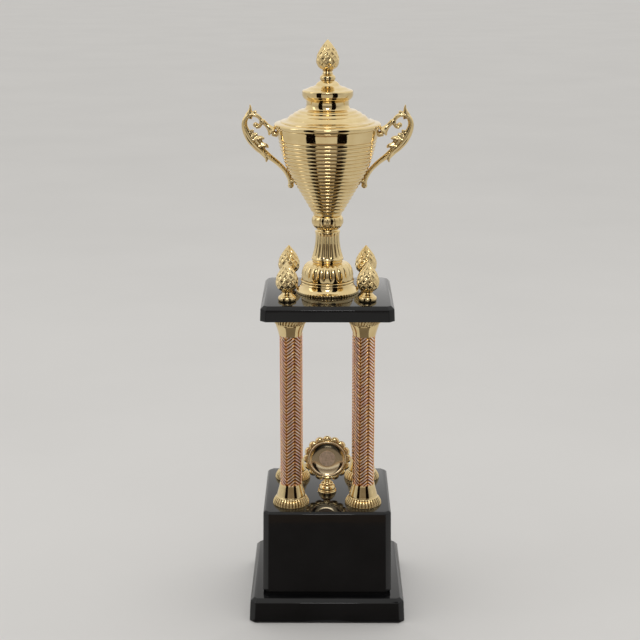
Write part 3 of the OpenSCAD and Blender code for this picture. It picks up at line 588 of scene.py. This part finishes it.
cup = {
    "teeth": 64, "toothDepth": 0.45,
    "gadroons": 20, "gadroonDepth": 1.35,
    "flutes": 16, "fluteDepth": 0.95,
    "petals": 14, "petalDepth": 0.7,
    "ribs": 19, "ribDepth": 0.95, "ribStart": 4.0, "ribSteps": 10, "ribFullness": 0.62,
    "plainBand": 12.8, "bowlWall": 2.7, "bowlAround": 160,
}

ring = width("cup_base_ring") / 2
ringTall = low("cup_dome") - low("cup_base_ring")
domeR = width("cup_dome") / 2
profile = [(0, 0.4), (ring - 4, 0.4), (ring - 3.4, 0), (ring - 0.9, 0), (ring - 0.35, 0.35)]
profile += [(ring - 0.05, 0.8 + 0.3 * i) for i in range(7)]
profile += [(ring - 0.5, 3.1), (ring - 1.0, 3.3)]
profile += bend((ring - 1.3, 3.5), (ring - 3.6, 4.8), (domeR - 0.2, 7.4), (domeR - 0.6, ringTall - 1.3), 14)
profile += [(domeR - 0.9, ringTall - 0.9), (domeR - 1.3, ringTall - 0.5), (domeR - 1.3, ringTall),
            (0, ringTall)]
bm = spinProfile(profile, cup["teeth"] * 5)


def millTeeth(angle, z, radius):
    reach = smoothStep(0.2, 0.7, z) * (1 - smoothStep(2.6, 3.1, z))
    return -cup["toothDepth"] * reach * (0.5 - 0.5 * math.cos(cup["teeth"] * angle)) if radius > ring - 1 else 0


carve(bm, millTeeth)
place(bm, z=low("cup_base_ring"))
finishPiece("cupFootRing", bm, gold, "stand", ["cup_base_ring"], 35)

domeTall = low("cup_stem") - low("cup_dome")
profile = [(0, 0), (domeR - 1.4, 0)]
profile += bend((domeR - 1.0, 0), (domeR + 0.2, 0.2), (domeR + 0.2, 2.1), (domeR - 0.9, 2.3), 8)
profile += [(domeR - 1.3, 2.5)]
profile += bend((domeR - 1.1, 2.9), (domeR - 0.3, 9.5), (domeR - 3.0, domeTall - 2.2),
                (domeR - 8.6, domeTall - 1.0), 34)
profile += [(domeR - 10.6, domeTall - 0.7), (domeR - 12, domeTall - 0.35), (domeR - 12.6, domeTall),
            (0, domeTall)]
bm = spinProfile(profile, cup["gadroons"] * 12)


def gadroon(angle, z, radius):
    reach = smoothStep(2.6, 11, z) * smoothStep(domeR - 12, domeR - 7.5, radius)
    return cup["gadroonDepth"] * reach * (abs(math.cos(cup["gadroons"] * angle / 2)) ** 0.6 - 0.85)


carve(bm, gadroon)
place(bm, z=low("cup_dome"))
finishPiece("cupDome", bm, gold, "stand", ["cup_dome"], 50)

stemTall = low("cup_knop") - low("cup_stem")
profile = [(0, 0), (15.8, 0), (16.4, 0.4), (16.2, 1.2), (16.4, 1.9), (17.2, 2.6), (17.5, 3.4), (17.5, 4.4),
           (17.2, 4.9)]
profile += bend((16.9, 5.2), (14.6, stemTall / 2 - 5), (12.9, stemTall - 17), (12.9, stemTall - 8), 30)
profile += bend((12.9, stemTall - 7.4), (13.0, stemTall - 6), (13.3, stemTall - 4.6), (13.7, stemTall - 3.2), 6)
profile += [(13.8, stemTall - 2.5), (13.4, stemTall - 1.9), (12.4, stemTall - 1.5), (11.9, stemTall - 0.8),
            (11.8, stemTall), (0, stemTall)]
bm = spinProfile(profile, cup["flutes"] * 16)


def flute(angle, z, radius):
    reach = smoothStep(4.9, 8, z) * (1 - smoothStep(stemTall - 4.6, stemTall - 3.0, z))
    wave = abs(math.cos(cup["flutes"] * angle / 2))
    return cup["fluteDepth"] * reach * (wave ** 0.7 - 1.0) if radius > 5 else 0


carve(bm, flute)
place(bm, z=low("cup_stem"))
finishPiece("cupStem", bm, gold, "stand", ["cup_stem"], 50)

knopTall = low("cup_bowl") - low("cup_knop")
profile = [(0, 0), (11.6, 0)]
profile += bend((11.9, 0.2), (15.6, 2.2), (17.2, 5.6), (17.2, 8.6), 26)
profile += bend((17.2, 8.9), (17.2, 11.2), (16.6, 13.2), (15.2, knopTall - 0.2), 16)
profile += [(14.6, knopTall), (0, knopTall)]
bm = spinProfile(profile, cup["petals"] * 16)


def petal(angle, z, radius):
    if radius < 11:
        return 0
    count = cup["petals"]
    leafRow = 1 - smoothStep(4.2, 5.2, z)
    leaf = abs(math.cos(count * angle)) ** 1.2
    upperRow = smoothStep(4.8, 5.8, z) * (1 - smoothStep(12.4, 13.8, z))
    tip = 1 - 0.55 * (z - 5) / 8
    scale = abs(math.cos(count * angle / 2)) / max(tip, 0.3)
    bead = smoothStep(0.35, 0.6, scale)
    grooves = 1.25 * leafRow * (1 - leaf) * smoothStep(0.4, 1.2, z) + upperRow * (1 - bead) * 0.8
    return -cup["petalDepth"] * grooves


carve(bm, petal)
place(bm, z=low("cup_knop"))
finishPiece("cupKnop", bm, crispGold, "stand", ["cup_knop"], 50)

bowlR = width("cup_bowl") / 2
bowlTall = high("cup_bowl") - low("cup_bowl")
sweep = bend((15.0, 0), (43.5, bowlTall - 44), (47.0, bowlTall - 48), (bowlR, bowlTall), 200)


def bowlRadius(height):
    for (ra, za), (rb, zb) in zip(sweep, sweep[1:]):
        if zb >= height:
            return ra + (rb - ra) * (height - za) / (zb - za)
    return sweep[-1][0]


bandStart = bowlTall - cup["plainBand"]
ribPitch = (bandStart - cup["ribStart"]) / cup["ribs"]
profile = [(0, 0), (14.6, 0), (15.0, 0.4), (bowlRadius(2) - 0.5, 2), (bowlRadius(3.4) - 0.9, 3.4)]
for i in range(cup["ribs"]):
    for k in range(cup["ribSteps"]):
        height = cup["ribStart"] + (i + k / cup["ribSteps"]) * ribPitch
        ribShare = math.sin(math.pi * k / cup["ribSteps"]) ** cup["ribFullness"]
        profile.append((bowlRadius(height) - cup["ribDepth"] * (1 - ribShare), height))
profile += [(bowlRadius(bandStart) - 0.9, bandStart), (bowlRadius(bandStart + 0.4) - 0.25, bandStart + 0.4)]
profile += [(bowlRadius(bandStart + h), bandStart + h) for h in (0.9, 3, 6, 9, cup["plainBand"] - 2.5)]
profile += [(bowlR - 0.1, bowlTall - 1.2), (bowlR, bowlTall - 0.7), (bowlR - 0.3, bowlTall - 0.15),
            (bowlR - 0.9, bowlTall), (bowlR - 2.0, bowlTall - 0.1), (bowlR - cup["bowlWall"], bowlTall - 0.9)]
inside = [6.5 + (bowlTall - 8.5) * i / 30 for i in range(30, -1, -1)]
profile += [(bowlRadius(h) - cup["bowlWall"], h) for h in inside] + [(13.5, 3.9), (12.5, 3.5), (0, 3.5)]
bm = spinProfile(profile, cup["bowlAround"])
place(bm, z=low("cup_bowl"))
finishPiece("cupBowl", bm, gold, "stand", ["cup_bowl"], 42)
print("cup done")


# Lid

lid = {"step": 14.6, "waist": 23.2, "drum": 27.2, "around": 192}
lidR = width("lid") / 2
rimZ = high("cup_bowl")
stepR, waistR, drumR = lidR - lid["step"], lid["waist"], lid["drum"]
spigotR = bowlR - 4.0
profile = [(spigotR, -4), (spigotR, 0.05), (lidR - 2.2, 0.05)]
profile += bend((lidR - 1.4, 0.3), (lidR + 0.2, 1.6), (lidR + 0.2, 4.2), (lidR - 1.4, 5.0), 10)
profile += bend((lidR - 2.2, 5.4), (lidR - 4, 5.7), (lidR - 5, 5.7), (lidR - 6.2, 6.0), 4)
profile += bend((lidR - 6.6, 6.2), (lidR - 6.6, 7.6), (lidR - 8.4, 7.7), (lidR - 9.6, 7.8), 5)
profile += bend((lidR - 10.4, 7.9), (stepR + 1.6, 8.6), (stepR + 0.6, 9.2), (stepR, 9.9), 6)
profile += [(stepR - 0.2, 10.6), (stepR - 1.0, 11.2)]
steps = ((stepR - 1.2, 11.4, stepR - 5.4, 14.0), (stepR - 6.2, 14.7, stepR - 10.2, 17.0),
         (stepR - 11.0, 17.6, waistR + 3.0, 19.8))
for outer, foot, inner, head in steps:
    profile += bend((outer, foot), (outer - 0.6, foot + 1.5), (inner + 1.4, head - 0.4), (inner, head), 6)
profile += [(waistR + 1.2, 20.3), (waistR + 0.7, 20.9)]
profile += bend((waistR + 0.4, 21.4), (waistR - 0.9, 24.0), (waistR - 0.9, 27.6), (waistR + 0.3, 29.6), 12)
profile += bend((waistR + 0.8, 30.0), (waistR + 2.6, 31.0), (drumR - 0.7, 32.6), (drumR - 0.1, 34.2), 8)
profile += [(drumR, 34.8), (drumR, 38.4)]
profile += bend((drumR - 0.1, 38.9), (drumR - 0.3, 39.8), (drumR - 1.6, 40.2), (drumR - 2.8, 40.5), 6)
profile += bend((drumR - 3.4, 40.6), (21.5, 41.6), (19.8, 42.2), (19.0, 42.9), 5)
profile += bend((18.2, 43.1), (16.4, 43.5), (14.6, 44.0), (13.4, 44.7), 5)
profile += [(12.9, 44.9), (12.5, 45.4)]
profile += bend((12.2, 46.0), (11.4, 47.6), (9.8, 48.7), (8.2, 49.3), 6)
profile += [(7.8, 49.8), (0, 49.8), (0, 44.8), (10, 44.8), (10.5, 41.6), (drumR - 2, 37.2), (drumR - 2, 34.4),
            (waistR - 1.6, 30.6), (waistR - 2.4, 27), (waistR - 2.0, 22), (waistR - 0.8, 18.6),
            (waistR + 7.3, 15.4), (stepR - 2.6, 9.2), (stepR + 0.4, 6.4), (spigotR - 1.8, 4),
            (spigotR - 1.8, -4), (spigotR, -4)]
bm = spinProfile(profile, lid["around"])
place(bm, z=rimZ)
finishPiece("lid", bm, gold, "lid", ["lid"], 42)
print("lid done")


# Handles: a cast scroll with leaves, fused from tapered strokes

handle = {"thick": 5.4, "voxel": 0.42, "smooth": 3}
strokes = [
    # each a run of (out from the rim, above the rim, half width), then its thickness against the scroll's
    ([(-15.4, -61.6, 2.5), (-14.4, -55.6, 2.4), (-9.8, -46.8, 2.5), (-2.4, -38.8, 2.6), (5.6, -32.4, 3.0),
      (12.8, -26.8, 3.8), (19.8, -20.8, 4.6), (26.2, -13.6, 4.8), (31.2, -5.4, 4.1), (33.6, 3, 3.2),
      (31.9, 9.8, 2.8), (27.2, 13.4, 2.6), (21.6, 13.2, 2.4), (17.0, 10.0, 2.1), (15.8, 5.2, 2.0),
      (17.8, 1.2, 2.0), (21.4, 0.4, 2.0)], 1.0),
    ([(29.6, 9.6, 4.4), (28.6, 13.6, 3.8), (27.6, 17.2, 2.5), (27.1, 21, 1.4), (27.5, 24.4, 0.7)], 0.8),
    ([(24.4, 13.6, 2.8), (22.2, 16.6, 1.8), (20.4, 16.8, 0.9)], 0.7),
    ([(25, -13.6, 4.4), (20, -12.2, 3.7), (15.8, -11.2, 2.4), (12.4, -12, 0.8)], 0.7),
    ([(19, -20.6, 4.4), (14, -19.4, 3.5), (10.4, -19.6, 2.2), (8.2, -21.6, 0.8)], 0.7),
    ([(27, -10, 3.8), (22.6, -8, 2.8), (19.8, -6.6, 1.1)], 0.65),
    ([(29.4, -6.4, 3.2), (25.8, -4.2, 2.2), (24.2, -2.4, 0.8)], 0.65),
    ([(28.6, -6.2, 2.6), (23.6, -11.4, 4.2), (18.4, -16.6, 4.6), (14.6, -22.4, 2.8)], 0.5),
    ([(15.4, -24.6, 4.2), (11.8, -29.2, 3.4), (10.2, -33.4, 1.9), (10.8, -37, 0.8)], 0.85),
    ([(17.4, 5.6, 2.6), (13.4, 5.6, 2.7), (10.6, 3.4, 2.5)], 0.9),
]
# raised midribs: width and lift against a stroke's half width and thickness, least in millimetres
vein = {"width": 0.3, "least": 0.4, "lift": 0.82}
balls = [((21.6, 2.8), 2.9), ((-15.6, -62.4), 3.3), ((13.8, 6.0), 3.2)]
socketRings = [((12, 4.6), 2.6), ((9.8, 2.4), 2.5), ((7.8, 0.4), 3.0), ((6.0, -1.5), 4.0), ((4.6, -3.0), 5.3),
               ((3.9, -3.8), 6.1), ((3.1, -4.6), 6.1)]


def tube(bm, points, radii, sides=24, halfThick=None):
    # rings along a bent line, bridged one to the next and closed at both ends; halfThick flattens them
    rings = []
    for i, (point, radius) in enumerate(zip(points, radii)):
        before, after = points[max(i - 1, 0)], points[min(i + 1, len(points) - 1)]
        direction = Vector((after[0] - before[0], 0, after[1] - before[1])).normalized()
        turnTo = Vector((0, 0, 1)).rotation_difference(direction).to_matrix().to_4x4()
        spot = Matrix.Translation((point[0], 0, point[1])) @ turnTo
        verts = bmesh.ops.create_circle(bm, cap_ends=False, radius=radius, segments=sides, matrix=spot)["verts"]
        if halfThick:
            bmesh.ops.scale(bm, vec=(1, halfThick / radius, 1), verts=verts)
        rings.append(list({e for v in verts for e in v.link_edges}))
    for a, b in zip(rings, rings[1:]):
        bmesh.ops.bridge_loops(bm, edges=a + b)
    for end in (rings[0], rings[-1]):
        bmesh.ops.contextual_create(bm, geom=end)


def smoothRun(points, extra=5):
    # a soft curve through points of (out, up, half width)
    result = []
    for i in range(len(points) - 1):
        a, b = points[max(i - 1, 0)], points[i]
        c, d = points[i + 1], points[min(i + 2, len(points) - 1)]
        for k in range(extra):
            t = k / extra
            result.append([0.5 * (2 * q + (r - p) * t + (2 * p - 5 * q + 4 * r - s) * t * t
                                  + (3 * q - p - 3 * r + s) * t ** 3) for p, q, r, s in zip(a, b, c, d)])
    return result + [list(points[-1])]


def makeHandle():
    bm = bmesh.new()
    for run, flat in strokes:
        dense = smoothRun(run)
        line = [(bowlR + p[0], rimZ + p[1]) for p in dense]
        halfThick = flat * handle["thick"] / 2
        tube(bm, line, [p[2] for p in dense], 16, halfThick)
        for face in (-1, 1):
            before = set(bm.verts)
            tube(bm, line, [max(p[2] * vein["width"], vein["least"]) for p in dense], 8)
            bmesh.ops.translate(bm, vec=(0, face * vein["lift"] * halfThick, 0),
                                verts=[v for v in bm.verts if v not in before])
    for (px, pz), radius in balls:
        bmesh.ops.create_icosphere(bm, subdivisions=3, radius=radius,
                                   matrix=Matrix.Translation((bowlR + px, 0, rimZ + pz)))
    tube(bm, [(bowlR + px, rimZ + pz) for (px, pz), radius in socketRings],
         [radius for spot, radius in socketRings])
    # the rods that carry the scroll to the bowl's wall, above and below
    tube(bm, [(bowlR - 1.6, rimZ - 7.4), (bowlR + 4.2, rimZ - 6.2)], [3.2, 3.2])
    tube(bm, [(bowlR - 19.0, rimZ - 57.4), (bowlR - 14.6, rimZ - 58.2)], [2.8, 2.6])
    bmesh.ops.recalc_face_normals(bm, faces=bm.faces)
    return bm


def bakeModifiers(piece):
    baked = bpy.data.meshes.new_from_object(piece.evaluated_get(bpy.context.evaluated_depsgraph_get()))
    piece.modifiers.clear()
    piece.data = baked


handleRight = finishPiece("handleRight", makeHandle(), crispGold, "stand", ["handle_right"], 180)
fuse = handleRight.modifiers.new("fuse", "REMESH")
fuse.mode = "VOXEL"
fuse.voxel_size = handle["voxel"] * mm
fuse.use_smooth_shade = True
soften = handleRight.modifiers.new("soften", "SMOOTH")
soften.factor = 0.5
soften.iterations = handle["smooth"]
bpy.context.view_layer.update()
bakeModifiers(handleRight)

bm = bmesh.new()
bm.from_mesh(handleRight.data)
bmesh.ops.scale(bm, vec=(-1 / mm, 1 / mm, 1 / mm), verts=bm.verts)
bmesh.ops.reverse_faces(bm, faces=bm.faces)
finishPiece("handleLeft", bm, crispGold, "stand", ["handle_left"], 180)
print("handles done")


# Floor, light and camera

studio = {
    "floor": (0.67, 0.662, 0.652),
    "front": (0.22, 0.19, 0.17), "side": (0.62, 0.61, 0.59), "back": (0.90, 0.885, 0.86),
    "above": (0.89, 0.88, 0.855), "seen": (0.70, 0.69, 0.675),
    "aim": (0, 0, 0.35), "lens": 82.66, "spot": (0, -1.5685, 0.7409), "down": 14.889, "swing": 0.298,
}
lamps = [
    # name, place, width, height, watts, and whether polished faces show it
    ("keyLight", (0.0, -1.7, 1.55), 0.42, 0.3, 4.5, True),
    ("leftLight", (-2.0, -0.3, 1.5), 0.5, 1.2, 2.0, True),
    ("topLight", (0.1, 0.35, 2.4), 1.6, 1.2, 6, False),
]


def makeFloor():
    bm = bmesh.new()
    bmesh.ops.create_grid(bm, x_segments=1, y_segments=1, size=40)
    mesh = bpy.data.meshes.new("floor")
    bm.to_mesh(mesh)
    bm.free()
    floor = bpy.data.objects.new("floor", mesh)
    bpy.context.collection.objects.link(floor)
    material, tree, shader = newMaterial("paleFloor")
    cloudy = noiseField(tree, objectPoint(tree), 2.2, 4)
    shaded = tuple(0.96 * share for share in studio["floor"])
    tone = colourRamp(tree, cloudy, [(0.3, shaded), (0.7, studio["floor"])])
    tree.links.new(tone, shader.inputs["Base Color"])
    shader.inputs["Roughness"].default_value = 0.6
    shader.inputs["Specular IOR Level"].default_value = 0.2
    mesh.materials.append(material)


def makeWorld():
    # a room that is bright above and behind, and dimmer in front; the camera itself sees one plain tone
    world = bpy.data.worlds.new("studio")
    bpy.context.scene.world = world
    world.use_nodes = True
    tree = world.node_tree
    coords = addNode(tree, "ShaderNodeTexCoord")
    parts = addNode(tree, "ShaderNodeSeparateXYZ")
    tree.links.new(coords.outputs["Generated"], parts.inputs["Vector"])
    depth = spread(tree, parts.outputs["Y"], 0, 1, -1, 1)
    around = colourRamp(tree, depth, [(0.02, studio["front"]), (0.45, studio["side"]), (0.95, studio["back"])])
    height = spread(tree, parts.outputs["Z"], 0, 1, 0.15, 0.85)
    room = blendColours(tree, height, around, (*studio["above"], 1))
    ray = addNode(tree, "ShaderNodeLightPath")
    shown = blendColours(tree, ray.outputs["Is Camera Ray"], room, (*studio["seen"], 1))
    tree.links.new(shown, tree.nodes["Background"].inputs["Color"])


def makeLights():
    for name, spot, across, tall, power, mirrored in lamps:
        data = bpy.data.lights.new(name, "AREA")
        data.shape = "RECTANGLE"
        data.size = across
        data.size_y = tall
        data.energy = power
        light = bpy.data.objects.new(name, data)
        light.location = spot
        light.visible_glossy = mirrored
        light.rotation_euler = (Vector(studio["aim"]) - Vector(spot)).to_track_quat("-Z", "Y").to_euler()
        bpy.context.collection.objects.link(light)


cards = [
    # azimuth from and to in degrees off the front, distance, lowest, highest, colour
    ("darkCardLeft", -51, -28, 0.85, 0, 1.5, (0.006, 0.004, 0.003)),
    ("darkCardRight", 22, 46, 0.85, 0, 1.5, (0.006, 0.004, 0.003)),
]
mats = [
    # nearest, furthest, colour: what the polished faces find on the floor in front
    ("nearMat", 0.09, 0.62, (0.20, 0.18, 0.165)),
    ("farMat", 0.62, 0.96, (0.32, 0.235, 0.17)),
]


def standCard(name, bm, colour):
    mesh = bpy.data.meshes.new(name)
    bm.to_mesh(mesh)
    bm.free()
    material, tree, shader = newMaterial(name)
    shader.inputs["Base Color"].default_value = (*colour, 1)
    shader.inputs["Roughness"].default_value = 0.9
    shader.inputs["Specular IOR Level"].default_value = 0
    mesh.materials.append(material)
    card = bpy.data.objects.new(name, mesh)
    bpy.context.collection.objects.link(card)
    card.visible_camera = False
    card.visible_shadow = False
    card.visible_diffuse = False


def makeCards():
    # curved cards in front of the piece, seen only in its polished faces
    for name, start, end, distance, bottom, top, colour in cards:
        bm = bmesh.new()
        towards = math.radians(start)
        foot = Vector((distance * math.sin(towards), -distance * math.cos(towards), bottom))
        head = Vector((foot.x, foot.y, top))
        edge = bm.edges.new((bm.verts.new(foot), bm.verts.new(head)))
        bmesh.ops.spin(bm, geom=[edge], cent=(0, 0, 0), axis=(0, 0, 1), dvec=(0, 0, 0),
                       angle=math.radians(end - start), steps=12, use_merge=False, use_duplicate=False)
        standCard(name, bm, colour)
    for name, near, far, colour in mats:
        bm = bmesh.new()
        side = math.sqrt(0.5)
        edge = bm.edges.new((bm.verts.new((-near * side, -near * side, 0.002)),
                             bm.verts.new((-far * side, -far * side, 0.002))))
        bmesh.ops.spin(bm, geom=[edge], cent=(0, 0, 0), axis=(0, 0, 1), dvec=(0, 0, 0),
                       angle=turn / 4, steps=12, use_merge=False, use_duplicate=False)
        standCard(name, bm, colour)


def makeCamera():
    data = bpy.data.cameras.new("camera")
    data.lens = studio["lens"]
    data.sensor_width = 36
    camera = bpy.data.objects.new("camera", data)
    camera.location = studio["spot"]
    camera.rotation_euler = (math.radians(90 - studio["down"]), 0, math.radians(studio["swing"]))
    bpy.context.collection.objects.link(camera)
    bpy.context.scene.camera = camera


makeFloor()
makeWorld()
makeLights()
makeCards()
makeCamera()
bpy.context.scene.view_settings.view_transform = "Standard"
print("studio done")
